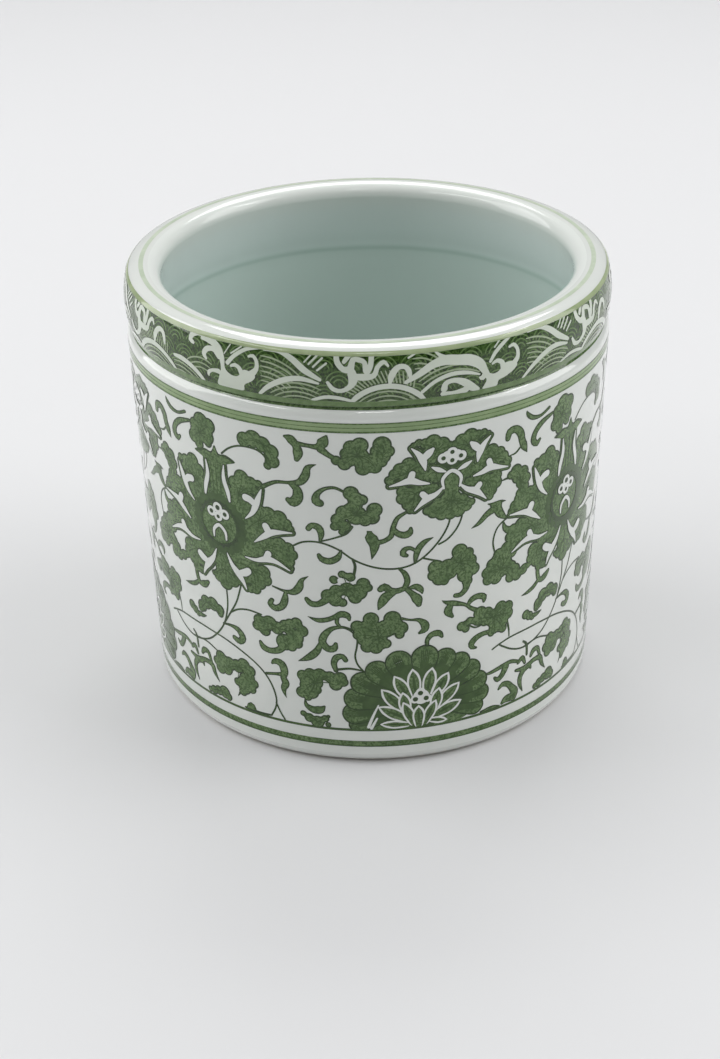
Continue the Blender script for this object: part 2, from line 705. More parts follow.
# ---- the lotus scroll: one repeat ----
# Leaves are lists of lobes (u, v, radius). Curls are lists of (u, v, width) along the curl.
LEAVES = [
    [(-46.2, 96.6, 2.7), (-43.6, 96.2, 2.2), (-48.5, 95.2, 2), (-47, 93.2, 2.8), (-44.3, 92.9, 2.2),
     (-49.2, 91.8, 2), (-47.5, 90, 1.6), (-44.3, 91.2, 1.4)],
    [(-32.6, 95.2, 2.2), (-30, 95.9, 2.5), (-27.4, 94.9, 2.3), (-25.2, 93.2, 2.2), (-24.8, 90.6, 1.9),
     (-26.3, 89.2, 1.2)],
    [(-8.4, 92.7, 1.4), (-6.4, 91.8, 1.8), (-4.7, 96.4, 2), (-2.5, 97, 2.2), (-5.8, 94.6, 1.8),
     (-3.1, 94.1, 2.8), (-1.9, 90.6, 2), (0.2, 92.6, 2.2), (1.1, 90.9, 1.8)],
    [(2.9, 97, 2.4), (4.4, 95.2, 1.7), (2.9, 93.9, 2.2), (1.6, 95.3, 1.8), (2.6, 92.4, 1.7)],
    [(-5, 83.6, 2.1), (-2.3, 81.8, 1.6), (-4, 80.5, 2), (0.8, 78.9, 2.1), (0.2, 76.7, 2), (-1.6, 76, 1.8),
     (-3.8, 77.4, 2.8), (-6.9, 78, 2.2), (-8.4, 75.9, 2), (-9.3, 74, 1.3), (-6.7, 74.2, 1.7),
     (-7.5, 72.5, 1)],
    [(-10, 58.3, 1.3), (-7.8, 60, 1.2), (-5.7, 59.3, 1.4), (-2.4, 57.3, 1.9), (-1.2, 56.2, 1.3),
     (-3.8, 54.9, 2.5), (-6.6, 55.6, 2.1), (-9.4, 54.9, 2), (-11.6, 53.3, 2.1), (-9.8, 52.2, 2),
     (-8, 51.6, 1.4), (-4.6, 53.2, 1.9)],
    [(16.6, 60.6, 2.3), (15.9, 58.4, 1.7), (17.6, 57.3, 2.2), (18.9, 56.2, 1.3), (19.7, 60.4, 2.3),
     (23, 64.2, 2.3), (25.4, 63.2, 1.7), (26, 60.8, 2), (27, 58.1, 1.9), (23, 60.8, 3.1), (20.6, 58.4, 1.9),
     (24.7, 57, 2.4), (25.3, 54.9, 1.6)],
    [(37.3, 61.3, 2.2), (34.6, 60.3, 1.8), (38.9, 59.6, 1.8), (36.3, 58.4, 2.6), (32.6, 57.9, 1.8),
     (31.1, 55.7, 1.7), (31.6, 53.6, 1.8), (34, 53.4, 2), (35.3, 55.6, 2.8), (38.4, 55, 2.3),
     (40.2, 54, 1.8), (38.8, 52.2, 1.8), (41, 52, 1.8), (43.2, 52.8, 1.6)],
    [(39.3, 83.3, 1.9), (41.6, 82.2, 1.9), (42.6, 80.1, 1.8), (42, 77.8, 1.9), (40.7, 76.4, 1.4),
     (39.8, 81.3, 1.9), (40.9, 79.3, 1.6), (37.6, 82.5, 1.3)],
    [(-31.8, 42.3, 1.8), (-32.5, 40.4, 1.6), (-30.2, 39.5, 1.8), (-28.6, 42.2, 2.3), (-26.4, 41.2, 2.1),
     (-23.8, 42.2, 2.1), (-20.7, 43.9, 1.7), (-22.5, 43.2, 1.7), (-19.3, 41.6, 1.9), (-21.2, 39.3, 2.4),
     (-20.8, 37.5, 1.7), (-24.4, 37.2, 2.6), (-22.5, 36.2, 1.6)],
    [(-52.3, 39.7, 1.9), (-50.5, 41.5, 2.2), (-47.7, 42, 2.2), (-45.3, 41.1, 1.8), (-45.1, 39.9, 1.2),
     (-52.9, 38.7, 1.3)],
    [(-46.3, 25.7, 2.1), (-48, 23.8, 1.6), (-46.7, 22, 1.9), (-44.4, 22.8, 2.2), (-43, 24.8, 2.2),
     (-40.3, 25, 2.2), (-38, 26.1, 2.2), (-35.9, 24.9, 1.8), (-36.4, 22.8, 1.9), (-34.9, 21, 1.5),
     (-37.5, 21.5, 2.5), (-35.9, 19.1, 1.6), (-38.3, 18.8, 2.3), (-40.6, 19.8, 1.4), (-39, 17.1, 1.4)],
    [(-19.6, 27.6, 1.8), (-17.5, 28.5, 1.8), (-14.8, 28.6, 2), (-12, 28.1, 1.9), (-9.3, 28, 2),
     (-8.4, 26.8, 1.5), (-10.5, 25.8, 1.9), (-16.3, 26, 2.4), (-19, 24.5, 1.8), (-20, 22.2, 1.9),
     (-17.5, 22.7, 2.3), (-15.9, 23.6, 1.5), (-18.5, 20.9, 1.3)],
    [(-0.6, 46.6, 2.2), (5, 46.6, 2.4), (7.2, 43.6, 2.1), (6.9, 41.6, 1.4), (3.2, 43.6, 2.8),
     (-1.3, 43.6, 3), (-4.2, 44.4, 1.9), (-2.3, 40.6, 2.3), (1.4, 41, 2.4), (3.3, 39, 1.5),
     (0.6, 37.8, 1.9), (-1.7, 38.2, 1.9), (-4, 41.8, 1.6)],
    [(24, 41.3, 1.5), (25.2, 40.2, 1.2), (26.3, 42.4, 1.3), (29.4, 44, 2.1), (31.5, 43.2, 2.1),
     (28.8, 42, 1.8), (33.4, 41.4, 2.7), (31, 41, 1.6), (35.9, 43.8, 2), (38.2, 43.2, 1.9), (38.3, 41, 1.9),
     (36.4, 39.4, 2.3), (34, 37.9, 1.9), (36.8, 36.9, 1.4), (33.1, 36.7, 1.2)],
    [(-46, 14.3, 2.1), (-44.6, 13.4, 1.4), (-48.4, 13.9, 1.6), (-50.3, 13.3, 1.5), (-52, 12.9, 1)],
    [(-20, 15.3, 1), (-18.3, 14.2, 1.5), (-16, 13.2, 2), (-13.8, 14.5, 1.2), (-12.9, 15.3, 0.6),
     (-13, 12.6, 0.9)],
    [(45, 38.1, 1.5), (46.4, 37.2, 1.4), (47.6, 36.4, 1.1)],
    [(33.5, 74.6, 1.6), (34.2, 75.3, 1), (32.2, 75.3, 0.8)],
]

CURLS = [
    # under the top band
    [(-21.3, 98.2, 0.8), (-19.9, 97.7, 2.4), (-18.4, 96, 2.2), (-18, 93.9, 2.7), (-18.4, 92.2, 1.5)],
    [(-18.2, 96.6, 1.5), (-15.5, 96.3, 1.2), (-13, 96.2, 1.8), (-11.7, 97.3, 3), (-11, 98.5, 2),
     (-10.7, 99.2, 0.8)],
    [(-12.2, 95.6, 2.2), (-10.6, 94.3, 1.6), (-9, 93.3, 1.4)],
    [(36.2, 93.2, 1.7), (36.7, 94.9, 2.2), (38.6, 95.2, 2.2), (40.2, 93.6, 2.4), (40.8, 91.4, 2.2),
     (41.6, 89.5, 2.2), (42.6, 87.6, 0.3)],
    [(37, 88.2, 0.3), (38.8, 88.4, 0.6), (40.5, 89.8, 0.6)],
    [(42, 99, 0.5), (42.5, 98, 1.3), (44.2, 96.7, 1.4), (47, 96.4, 1), (50, 97.6, 1)],
    [(51.5, 95.6, 1), (47.6, 94.3, 1.8), (45.3, 92.3, 1.9), (44.7, 90.1, 2), (45.9, 88.9, 1.8),
     (47, 89.7, 1)],
    # the branch from the left flower
    [(-13.5, 91.2, 0.2), (-15.6, 90.2, 1.6), (-16.4, 87.8, 2.4), (-18, 85.8, 2), (-21, 85.3, 1),
     (-24.5, 84.9, 1.1), (-28, 83, 1.4)],
    [(-20.6, 85.1, 1), (-18.8, 83.8, 2.4), (-18.6, 81.5, 3), (-19.9, 79.9, 2.8), (-21.2, 80.4, 1.6)],
    [(-6.8, 84, 0.8), (-9, 85, 0.9), (-11.5, 84.6, 1.1), (-13.5, 83, 1.7), (-13.9, 81, 2.5),
     (-12.9, 80.4, 2.2)],
    [(-5, 74, 0.9), (-6.5, 72, 0.7), (-9.5, 70.6, 0.5), (-13, 69.4, 0.5)],
    [(-13.3, 69.2, 0.7), (-12.9, 71.5, 1.8), (-13.5, 73.3, 2.1), (-15.2, 73.8, 1.7), (-16.2, 72.8, 1.6)],
    [(-7.9, 67, 0.7), (-8.8, 64.9, 1.8), (-11, 63.7, 2), (-13, 64.2, 1.8), (-13.7, 65.3, 1.2)],
    [(-5, 64.6, 0.7), (-4.4, 62.5, 0.8), (-4.8, 59.8, 0.8)],
    # bud and curls left of the upper lotus
    [(-0.2, 72.5, 0.8), (-0.3, 71.3, 3), (0.6, 69, 2.9), (0.4, 66.8, 1.8), (-0.1, 64.7, 0.3)],
    [(1.2, 69.4, 1.6), (3.2, 69.9, 1.4), (4.9, 71.2, 1.5), (5.4, 73.5, 1.5), (6.5, 76.2, 1.3),
     (8.7, 77.7, 0.9)],
    [(5.5, 73.2, 1.4), (6.6, 71.8, 1.8), (8.4, 71.2, 2.1), (9.7, 71.9, 1.9), (9.9, 73, 1)],
    [(15.7, 69.6, 0.3), (13.6, 68.7, 1.5), (12, 67, 1.8), (11.3, 65, 1.6), (11, 62.8, 0.8)],
    [(11.4, 66.2, 1), (9.7, 67.3, 1.2), (8.2, 66.9, 1.6), (7.9, 65.7, 1.8), (8.8, 65.2, 1.2)],
    [(6.7, 61.6, 0.6), (8.3, 60, 1.5), (9, 57.6, 1.7), (8.2, 55.4, 1.6)],
    [(2, 55.6, 1.8), (3.1, 56.3, 2.3), (4.5, 55.2, 2), (6.2, 54.9, 1.8), (8, 55.4, 1.6)],
    [(5.5, 54.6, 1.8), (3.4, 53.3, 2.8), (2.2, 51.4, 2.3), (1.4, 49.6, 0.5)],
    [(8.6, 55.4, 1.4), (10.3, 53.6, 1.9), (11.6, 51.9, 2.9), (12, 50.3, 1.7)],
    [(9.3, 55.5, 0.7), (11.3, 55.7, 1.9), (12.6, 54.6, 1.7), (12.9, 53.5, 0.5)],
    # tails of the leaves in the middle
    [(-12.5, 51.9, 2.2), (-14.3, 50.6, 1.8), (-16.3, 50.5, 1.9), (-17.5, 51.7, 1.4)],
    [(25.2, 54.5, 2.6), (24.9, 52.6, 1.9), (23.5, 51.2, 1.6), (22, 51.2, 1.4)],
    [(43.5, 53.3, 2.6), (45.4, 53.7, 1.9), (46.6, 54.6, 1.9), (46.8, 55.9, 1.2)],
    [(-16.8, 58.6, 0.2), (-18.6, 57.2, 1.3), (-19.4, 55, 2.3), (-21, 53.3, 2), (-23.5, 53.1, 1),
     (-27, 53.9, 0.5)],
    [(-23.3, 52.9, 1), (-23.6, 50.5, 2.1), (-24.6, 48.3, 2.1), (-26.6, 47.3, 2), (-28, 48.4, 1.8),
     (-27.4, 49.6, 1.4)],
    [(35.7, 69.6, 0.5), (36.3, 67.6, 1.7), (38, 66.4, 2.3), (39.8, 66.7, 2.1), (40.9, 68.2, 1)],
    [(26.2, 70.2, 0.2), (28.3, 71.2, 1.3), (30.6, 73.2, 1.9), (32.8, 74.2, 2.4)],
    [(30.8, 76.1, 0.3), (32.5, 75.6, 1.2), (34.6, 75.8, 1), (36.2, 75.6, 0.2)],
    [(33.5, 74.5, 2.6), (34.6, 72.4, 2.5), (36.2, 70.8, 1.2), (37.6, 70.3, 0.5)],
    [(34.8, 81.7, 0.4), (36.4, 81.9, 0.7), (38.2, 81.6, 0.6)],
    # right of the middle, below the second flower
    [(50.3, 57, 1), (48.9, 52.5, 1.5), (48.9, 49, 1.6), (49.9, 47, 1.7), (51.8, 47.3, 2.3),
     (53.3, 48.5, 1.2)],
    [(49.6, 47.6, 1.2), (47.6, 45.9, 1.5), (45.2, 45, 1.2), (43, 44.7, 0.2)],
    # the row of curls above the lower flower
    [(-17.4, 46.4, 0.2), (-14.8, 45.6, 1.4), (-12.3, 46, 1.5), (-10.2, 47, 1.5), (-8.3, 48, 2.1),
     (-6.7, 47.6, 1.9), (-6.3, 46.4, 0.9)],
    [(-9.4, 47, 1.2), (-9.6, 45.3, 1.2), (-8.6, 44, 0.8)],
    [(-5.3, 43.2, 0.6), (-8, 44, 0.9), (-10.9, 43.4, 1.4), (-13, 41.3, 2.1), (-13.7, 38.9, 2.3),
     (-12.3, 37.1, 2.2), (-10.6, 37.3, 2.1), (-10.1, 38.7, 1.2)],
    [(-14.2, 38.6, 1.2), (-15.3, 36, 2.1), (-17.5, 33.8, 2.1), (-20.7, 32, 0.2)],
    [(7.5, 46.4, 1), (9.8, 45.8, 0.7), (12, 45.5, 1.3), (13.6, 44, 2.4), (13.6, 42.4, 2.1),
     (12.2, 41.5, 0.9)],
    [(14.5, 36.6, 1.1), (14.3, 38.8, 1.4), (15.6, 40.5, 1.8), (17.5, 40.6, 2), (18.4, 39.4, 1)],
    [(29, 44.8, 1.6), (26.7, 46.2, 1.3), (24.8, 47.8, 1.1), (21.8, 48.9, 1.7), (19.5, 49.6, 1.2),
     (18.3, 50.4, 0.2)],
    [(20.8, 48.8, 1.8), (20, 46.8, 2.5), (21.2, 45, 1.1)],
    [(25.6, 47.4, 1), (26.8, 48.9, 1.8), (28.8, 49.4, 1.9), (30.5, 48.6, 1.9), (30.4, 47.3, 0.9)],
    [(33.5, 37, 1.6), (31, 37.3, 1.6), (28.6, 36.7, 1.9), (27, 35.2, 2.1), (27.3, 33.9, 1.5),
     (28.4, 33.5, 0.8)],
    [(38.1, 39, 0.9), (38.9, 36, 0.6), (39.1, 33.6, 0.4)],
    [(47.5, 36.6, 1.8), (49.6, 36.6, 1.4), (51.2, 37, 0.3)],
    # lower row
    [(-24.3, 36.6, 2.6), (-26.3, 34.3, 2.1), (-29, 33.5, 1.9), (-31, 34.1, 2), (-31.8, 35.5, 1.1)],
    [(-44.2, 37.3, 0.6), (-41.5, 37.6, 1), (-39, 37, 1.9), (-37.6, 35, 2.3), (-38.8, 33.5, 2.1),
     (-40.5, 34.1, 1.6)],
    [(-28.6, 29.6, 0.8), (-27.5, 30.5, 1.9), (-25.7, 30, 2.4), (-25, 27.8, 2.4), (-25.4, 25.8, 2),
     (-24.8, 24, 2.3), (-25.5, 22.2, 1.8), (-25.2, 20.3, 0.7), (-24.8, 19.4, 0.2)],
    [(-25.5, 26.7, 1.6), (-27.7, 26.4, 1), (-30.6, 25.8, 0.9)],
    [(-10.3, 30.4, 1.4), (-10.8, 32.6, 1.8), (-10, 34.5, 2), (-8.4, 34.9, 1.7), (-7.6, 33.8, 1.5)],
    [(-9.8, 30.7, 0.8), (-6.5, 31.2, 0.7), (-3, 30.6, 0.5)],
    [(-19.3, 20, 0.5), (-19, 18.2, 1.4), (-17, 17, 2.3), (-15, 17.3, 2.5), (-13.9, 18.4, 0.8)],
    [(-40.1, 16.4, 0.8), (-40.9, 15.1, 0.2)],
    [(-60, 21.4, 1), (-56.5, 20.9, 1.9), (-53, 21.9, 1.7), (-50.3, 21.5, 1.9), (-49.4, 19.3, 1.5),
     (-47.8, 17, 0.3)],
    [(-54.3, 23.8, 1.2), (-53.4, 25.1, 1.9), (-51.7, 25.2, 1.6), (-50.8, 23.2, 1.2), (-50.4, 21.5, 1.2)],
    [(-59.2, 23.6, 1.2), (-57.7, 24.6, 1.7), (-56.6, 22.5, 1)],
    [(31, 23.9, 0.6), (33.5, 24, 1.2), (37, 24.7, 1.5), (40, 25.1, 1.4), (42.6, 24.2, 1.1)],
    [(38.4, 24.2, 2.4), (37.3, 22, 2), (35.8, 20.9, 1.7), (34.7, 21.8, 1)],
    [(44.5, 29.8, 0.7), (45.8, 28.4, 0.9), (46.1, 25, 0.9)],
    [(45, 13.6, 0.4), (43.9, 16.2, 1.5), (43.9, 18.6, 1.9), (45.3, 20.4, 2.1), (47.3, 20.8, 1.8),
     (48, 19.8, 0.8)],
    [(36.2, 17.6, 0.8), (37.5, 18.7, 1.7), (39.3, 18.2, 1.9), (40.7, 16.6, 2.1), (41.9, 14.7, 2.9),
     (41.6, 13, 2.4)],
    [(40.8, 13.4, 2.8), (38.8, 13.4, 2.4), (37.6, 12.6, 1.2)],
    [(-37.8, 12.2, 0.8), (-36.4, 13.3, 2.6), (-35, 12.3, 0.8)],
    [(-38.5, 12.3, 0.6), (-33, 12.1, 0.8), (-29.8, 12.4, 0.6)],
    [(30.5, 12.1, 0.8), (34, 12.4, 1.3), (36.5, 12.1, 0.6)],
]

VINES = [
    [(-20.5, 67.2), (-18, 68.6), (-15, 69.1), (-12, 68.7), (-8.5, 67.2), (-5, 64.6), (-1, 62.7), (3, 61.7),
     (7, 61.6), (10.5, 62.5), (13.5, 64.4), (16, 66.8), (18.3, 69.8), (19.8, 72.8), (20.3, 75.5)],
    [(17.3, 67.4), (19.6, 68.5), (21.8, 70.8), (23.2, 73.6), (23.6, 76.4)],
    [(13.2, 63.9), (15.4, 63.1), (17, 62.6)],
    [(-39.9, 89.5), (-37.5, 91.6), (-34.5, 93), (-31, 93.3), (-28.5, 92.8), (-26.8, 91.3), (-27, 89.3)],
    [(33.4, 61), (32.7, 64.5), (33.7, 68), (36, 69.9), (39, 70.8), (42.5, 70.7)],
    [(-8, 44), (-5.8, 42.8), (-4.4, 40.6), (-4.5, 38), (-5, 35.2), (-4.4, 32.6), (-2.8, 30.4)],
    [(-68.5, 31.3), (-66, 32.3), (-62, 33.2), (-55, 33.4), (-50, 33.2), (-44, 32.4), (-38.5, 30.6),
     (-34, 28.2), (-31, 25.5), (-29, 22.2), (-28, 18.5), (-28.3, 15.5), (-29.8, 12.4)],
    [(-66, 31.8), (-62, 29.2), (-58, 28), (-54, 28.5), (-50, 30.3), (-46.5, 33.6), (-44, 37.2),
     (-42.7, 40.8), (-42, 44.5), (-42, 48.8)],
    [(-44, 37.2), (-41.5, 41.3), (-39, 45.5), (-37.6, 49.2), (-36.8, 51.8)],
    [(-41.2, 41.8), (-38.5, 43.6), (-35, 44.5), (-31, 44.2)],
    [(-28.1, 17), (-27, 14.3), (-25.7, 12.1)],
    [(-58, 28), (-52, 28.6), (-47.5, 27.2)],
    [(26, 41.2), (28, 39.9), (30, 40.2)],
]

LEAF_GAP = (-8.2, 58.2, 0.9)  # a white gap in the leaf at the middle of the front

# The side flower, drawn as its right half. Its axis is at u = ASTER.
ASTER = -42.5
ASTER_PETALS = [
    [(-34.2, 84.1, 2.3), (-31.4, 83.4, 1.7), (-36.4, 82, 2.1), (-33.2, 81.4, 2.2), (-29.2, 83.4, 1.2),
     (-35.6, 78.6, 2.9), (-37, 74.8, 3.4), (-33, 77, 2), (-30.6, 81.2, 1.5)],
    [(-29.2, 75.4, 2.1), (-26.9, 75.1, 2.3), (-23.9, 74.7, 2.2), (-22.1, 73.2, 1.7), (-21.1, 71.9, 1.3),
     (-25.8, 73, 2.2), (-30, 72.6, 2.7), (-33, 70, 3.2), (-30.8, 68.6, 2.4), (-23.8, 72.2, 1.3)],
    [(-24.4, 66.9, 2.2), (-21.9, 66.2, 1.8), (-20.9, 64.4, 1.7), (-21.9, 62.3, 1.8), (-21.7, 60.4, 1.4),
     (-25, 64.4, 2.6), (-28.6, 65, 2.1), (-31.8, 64.2, 2.6), (-34.6, 63.6, 2.6), (-29.6, 63, 1.5),
     (-27.2, 67.2, 1.6)],
    [(-29.6, 57.4, 2.3), (-28.9, 55.3, 1.9), (-31, 54.1, 2.3), (-32.2, 51.9, 1.8), (-33.8, 51.4, 1.4),
     (-33, 57.5, 2.6), (-36.4, 58.5, 2.2), (-38.2, 58.2, 1.8), (-34.5, 54.1, 1.5)],
]
ASTER_RESERVES = [
    [(-28.5, 82, 0.3), (-29.4, 79.6, 1.3), (-30.4, 77, 1.8), (-31.6, 74.6, 1.2), (-33.7, 72.5, 0.3)],
    [(-33.3, 78.7, 2), (-32, 78.4, 2), (-30.8, 77.4, 1.6)],
    [(-20.6, 70.9, 0.3), (-23.5, 70.6, 1), (-26.3, 70, 1.8), (-28.6, 68.4, 1.5), (-31.4, 66.2, 0.3)],
    [(-27.9, 71.6, 1.9), (-27.3, 70.4, 2)],
    [(-34.6, 60.9, 0.3), (-31.3, 60.8, 1), (-28, 61.8, 1.8), (-25.2, 61.4, 1.2), (-21.7, 59.6, 0.3)],
    [(-27.6, 63.5, 1.8), (-28.2, 62.2, 1.8)],
    [(-40.6, 60.2, 0.3), (-39.2, 57.2, 1.3), (-37.3, 55, 2), (-35.8, 52.8, 1.1), (-35, 51, 0.3)],
    [(-34.1, 56.7, 2), (-35.2, 55.9, 2.2), (-36.9, 55.3, 1.6)],
    [(-39.5, 86.2, 0.3), (-39.8, 82.4, 1.2), (-38.8, 78.8, 1.3), (-38.4, 76.2, 0.6)],
]
ASTER_VASE = [(-45.8, 73.6), (-45, 79), (-44.6, 84.4), (-46.6, 86.7), (-49.4, 88), (-46, 89.3),
              (-43.5, 89.1), (-42.2, 91.2), (-41, 89.1), (-38.6, 89.3), (-35.8, 87.9), (-38.4, 86.7),
              (-40, 84.4), (-39.6, 79), (-38.9, 73.6)]
ASTER_CALYX = [(-42, 50.9, 2.4), (-44.2, 52.2, 2.1), (-39.3, 52.2, 2.1), (-46, 52.4, 1), (-37.4, 52.3, 1),
               (-42, 55, 3.4), (-42.4, 58.6, 2.8)]
ASTER_GROUND = [(-42.5, 68.5, 9.8), (-35.5, 75.5, 5.6), (-33.6, 68.4, 6), (-35.4, 61.5, 5.4),
                (-49.5, 75.5, 5.6), (-51.4, 68.4, 6), (-49.6, 61.5, 5.4), (-42.5, 60, 5)]
ASTER_SEEDS = [(-45, 71.5, 1.45), (-42.7, 73.1, 1.55), (-40.4, 71.7, 1.45), (-42.7, 70.5, 1.35)]
ASTER_SEED_LINE = 0.8  # width of the white round each seed
# rings round the heart: radius, width, radius of the row of beads, radius of a bead
ASTER_CENTRE = (-42.7, 68.4)
ASTER_DARK_RING = (7.4, 2.6, 8.6, 0.7)
ASTER_THIN_RING = (6.2, 0.9, 6.6, 0.45)
ASTER_BEADS = 22
ASTER_VASE_CENTRE = (-42.3, 82)
ASTER_VASE_INSIDE = (0.84, 0.94)  # size of the vase's green against its dark edge
ASTER_VASE_LINE = [(1.2, 75, 0.35), (1.3, 81, 0.3), (1.8, 86.5, 0.2)]  # the outer line, from the vase's axis
ASTER_HEART = [(-44.7, 64.2, 0.5), (-44.5, 66.4, 0.9), (-42.6, 68, 1), (-40.7, 66.4, 0.9),
               (-40.5, 64.2, 0.5)]

# The upper lotus, drawn as its left half. Its axis is at u = LOTUS.
LOTUS = 20.5
LOTUS_PETALS = [
    [(10.6, 96.3, 0.9), (12, 96.8, 1.2), (13.6, 96.4, 1.6), (15.6, 96.6, 2.2), (18, 95.8, 2),
     (16.4, 94, 2.4), (19.6, 94.6, 1.8), (15.4, 91.8, 1.4)],
    [(4.6, 87, 1.4), (6, 88.6, 1.7), (7.2, 90, 1.8), (9.5, 91.2, 2), (9, 88.7, 2.2), (11.6, 90.4, 1.8),
     (12.6, 88.2, 1.9), (10.3, 86.6, 1.4), (7.4, 86.3, 1.1)],
    [(8, 83.7, 1.8), (7.9, 81.7, 1.8), (9.3, 79.9, 1.8), (9.8, 78.3, 1.3), (11, 82.8, 2.4),
     (13.6, 83.5, 1.9), (12, 80.5, 1.5), (15.8, 84, 1.5)],
    [(16.4, 86.9, 2), (15.4, 88.2, 1.4), (14.1, 87.4, 1.5)],
]
LOTUS_SKIRT = [(14.3, 77.6, 1.5), (15.7, 76.7, 1.6), (18, 76.1, 1.9), (20.3, 75.7, 1.7), (22.5, 76.2, 1.9),
               (24.7, 77.1, 1.6), (26, 78, 1.2), (20.3, 79.5, 3.2), (17, 79.2, 1.9), (23.4, 79.2, 1.9),
               (20.5, 82.4, 2.2)]
LOTUS_RESERVES = [
    [(10.1, 95.5, 0.3), (11.7, 93.9, 1.3), (13, 91.8, 1.9), (13.6, 89.2, 0.4)],
    [(13.2, 92.5, 1.7), (14.5, 93.8, 1.9), (15.5, 94.8, 0.8)],
    [(4.6, 85.4, 0.3), (7.2, 86, 1.1), (9.8, 86.6, 1.9), (12.2, 85.8, 1.3), (14.6, 85.3, 0.4)],
    [(10.3, 88.5, 1.6), (9.9, 87.1, 1.8)],
    [(10.9, 78, 0.3), (12.4, 79.6, 1.1), (14, 81, 1.9), (16.3, 82, 1.3), (18.2, 83.7, 0.5)],
    [(12.9, 82.5, 1.6), (13.9, 81.3, 1.8)],
    [(15.3, 89.7, 0.4), (17, 88.8, 1.3), (18.8, 88, 0.4)],
]
LOTUS_GROUND = [(20.5, 91, 4.2), (20.5, 85.6, 2.6)]
LOTUS_MIDDLE = (20.5, 85.4, 2)
LOTUS_HEART = [(18.4, 83.3, 0.5), (18.1, 86, 0.9), (20.5, 88, 1), (22.9, 86, 0.9), (22.6, 83.3, 0.5)]
LOTUS_POD = [(18.1, 91.8, 1.4), (20.5, 93, 1.5), (22.9, 91.8, 1.4), (20.5, 91.2, 1.5), (19.3, 92.2, 1.5),
             (21.7, 92.2, 1.5)]
LOTUS_SEEDS = [(18.2, 91.8, 0.6), (20.5, 93.2, 0.6), (22.8, 91.8, 0.6), (20.5, 90.9, 0.6)]

# The lower flower: a scalloped disc with a small lotus reserved in it.
DISC_HEART = (12.5, 18)
DISC_TUCK = 0.9  # how far each scallop is drawn in and widened
DISC_DARK_INSET = 2.6  # how far the dark ground stays inside the green one
DISC_SCALLOPS = [
    (6.3, 33.7, 2.9), (13.8, 34.6, 3), (19.7, 33.2, 2.4), (24.1, 30.9, 2.4), (27.5, 27.6, 2.4),
    (29.9, 23.2, 2.3),
    (30.8, 18.8, 2.1), (29.2, 14.8, 2), (0.3, 31, 2.6), (-3.8, 27.2, 2.7), (-5.8, 21.8, 2.7),
    (-6.4, 16.8, 2.6),
    (-5.4, 13.2, 1.9),
]
DISC_GROUND = [(8, 25, 9.6), (16, 24, 9.8), (22, 20, 8.4), (3, 19.5, 9), (12, 16.5, 9)]
# each petal of the small lotus, from the back to the front: base, tip, greatest width
DISC_BACK_PETALS = [
    ((11.2, 21.5), (10.3, 30.6), 3.9), ((14.2, 21.8), (15.8, 30.3), 3.9), ((9.6, 20.8), (5.3, 28.8), 3.8),
    ((16.2, 21), (20.4, 27.9), 3.8), ((8, 17.4), (1.8, 24.7), 3.8), ((17.2, 17.8), (23.6, 24), 3.7),
    ((9.5, 14.2), (0.9, 19.1), 3.7), ((15.8, 14.6), (24.3, 18.2), 3.8),
]
DISC_FRONT_PETALS = [
    ((8.8, 16), (7.6, 23.4), 3.6), ((16.2, 16.2), (17.8, 23.6), 3.6), ((9.4, 12.9), (1.4, 13.4), 2.6),
    ((14.8, 13.6), (20.2, 12.7), 2.2), ((10.8, 12.6), (7.7, 20.2), 3.3), ((13.6, 12.6), (16.9, 19.8), 3.3),
    ((12.1, 11.8), (12, 18.8), 3.6),
]
DISC_PETAL_LINE = 0.52  # width of the white line round each petal
DISC_SCALLOP_LINE = 0.36  # width of the dark line round each scallop
DISC_SCALLOP_REACH = 8.5  # how far each scallop's sides run in towards the heart
DISC_SCALLOP_ROOT = 5  # how far its green runs in
DISC_VEIN_ROOT = 4.5  # how far its veins run in
DISC_POD = [(12.7, 21.4, 2.3), (10.9, 20.7, 1.2), (14.5, 20.7, 1.2), (12.6, 23, 1.3)]
DISC_SEEDS = [(12.5, 22.6, 0.75), (11.1, 20.8, 0.75), (14.1, 20.8, 0.75)]
DISC_LINES = [[(-1.8, 12.6, 0.9), (-0.4, 16.4, 0.7), (1, 19.6, 0.4)], [(-1, 12.2, 0.9), (0.6, 15.4, 0.5)]]


def draw_beaded_ring(layer, centre, radius, width, row, bead):
    layer.stroke(arc_line(centre, radius, 0, 360, width, 1.0))
    for k in range(ASTER_BEADS):
        turn = 2 * math.pi * k / ASTER_BEADS
        layer.disc(centre[0] + row * math.cos(turn), centre[1] + row * math.sin(turn), bead)


def draw_aster(p):
    for petal in mirror(ASTER_PETALS, ASTER):
        p.leafy(petal)
    p.leafy(ASTER_CALYX)
    p.leafy(ASTER_GROUND, veins=False)
    draw_beaded_ring(p.vein, ASTER_CENTRE, *ASTER_DARK_RING)
    draw_beaded_ring(p.edge, ASTER_CENTRE, *ASTER_THIN_RING)
    p.ink.area(ASTER_VASE)
    middle, level = ASTER_VASE_CENTRE
    wide, tall = ASTER_VASE_INSIDE
    p.leaf.area([(middle + (u - middle) * wide, level + (v - level) * tall) for u, v in ASTER_VASE])
    for side in (-1, 0, 1):
        p.vein.stroke([(middle + side * out, v, width) for out, v, width in ASTER_VASE_LINE])
    for reserve in mirror(ASTER_RESERVES, ASTER):
        p.swoosh(reserve)
    for u, v, radius in ASTER_SEEDS:
        p.ring(u, v, radius, radius - ASTER_SEED_LINE)
    p.swoosh(ASTER_HEART)


